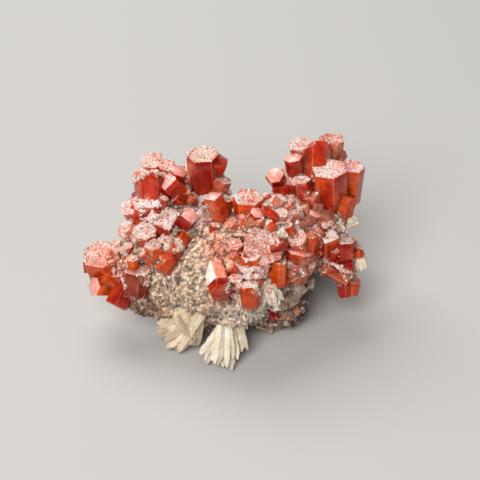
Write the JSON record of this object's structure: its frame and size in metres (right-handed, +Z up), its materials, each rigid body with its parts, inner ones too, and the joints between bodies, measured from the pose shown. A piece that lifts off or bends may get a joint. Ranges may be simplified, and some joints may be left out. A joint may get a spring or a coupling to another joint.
{
  "type": "vanadinite specimen",
  "caption": "Hand specimen of blocky hexagonal orange-red crystals with pale crusted ends, grown over a sugary core with fans of ivory blades.",
  "frame": {"origin": "middle of the footprint, on the table", "axes": "+X along the longest side, to the right as the picture sees it, +Z up, and the picture's viewer on the -Y side"},
  "size_m": [0.0564, 0.0422, 0.0313],
  "materials": {
    "vanadinite": "glassy, translucent orange-red with pale drusy ends",
    "barite": "pearly ivory blades",
    "matrix": "sugary, sparkling, sandy",
    "druse": "brown sparkling druse"
  },
  "bodies": {
    "root": {"barite_matrix": "matrix", "drusy_foot": "druse", "vanadinite_upper_left": "vanadinite", "vanadinite_tall_crystals": "vanadinite", "vanadinite_left_shelf": "vanadinite", "vanadinite_left_tip": "vanadinite", "vanadinite_centre": "vanadinite", "vanadinite_front": "vanadinite", "vanadinite_centre_right": "vanadinite", "vanadinite_upper_right": "vanadinite", "vanadinite_right_tip": "vanadinite", "vanadinite_back": "vanadinite", "barite_blade_fan": "barite", "barite_blade_block": "barite", "barite_blades_front": "barite", "barite_blades_upper_right": "barite", "barite_blade_right": "barite"}
  },
  "joints": []
}
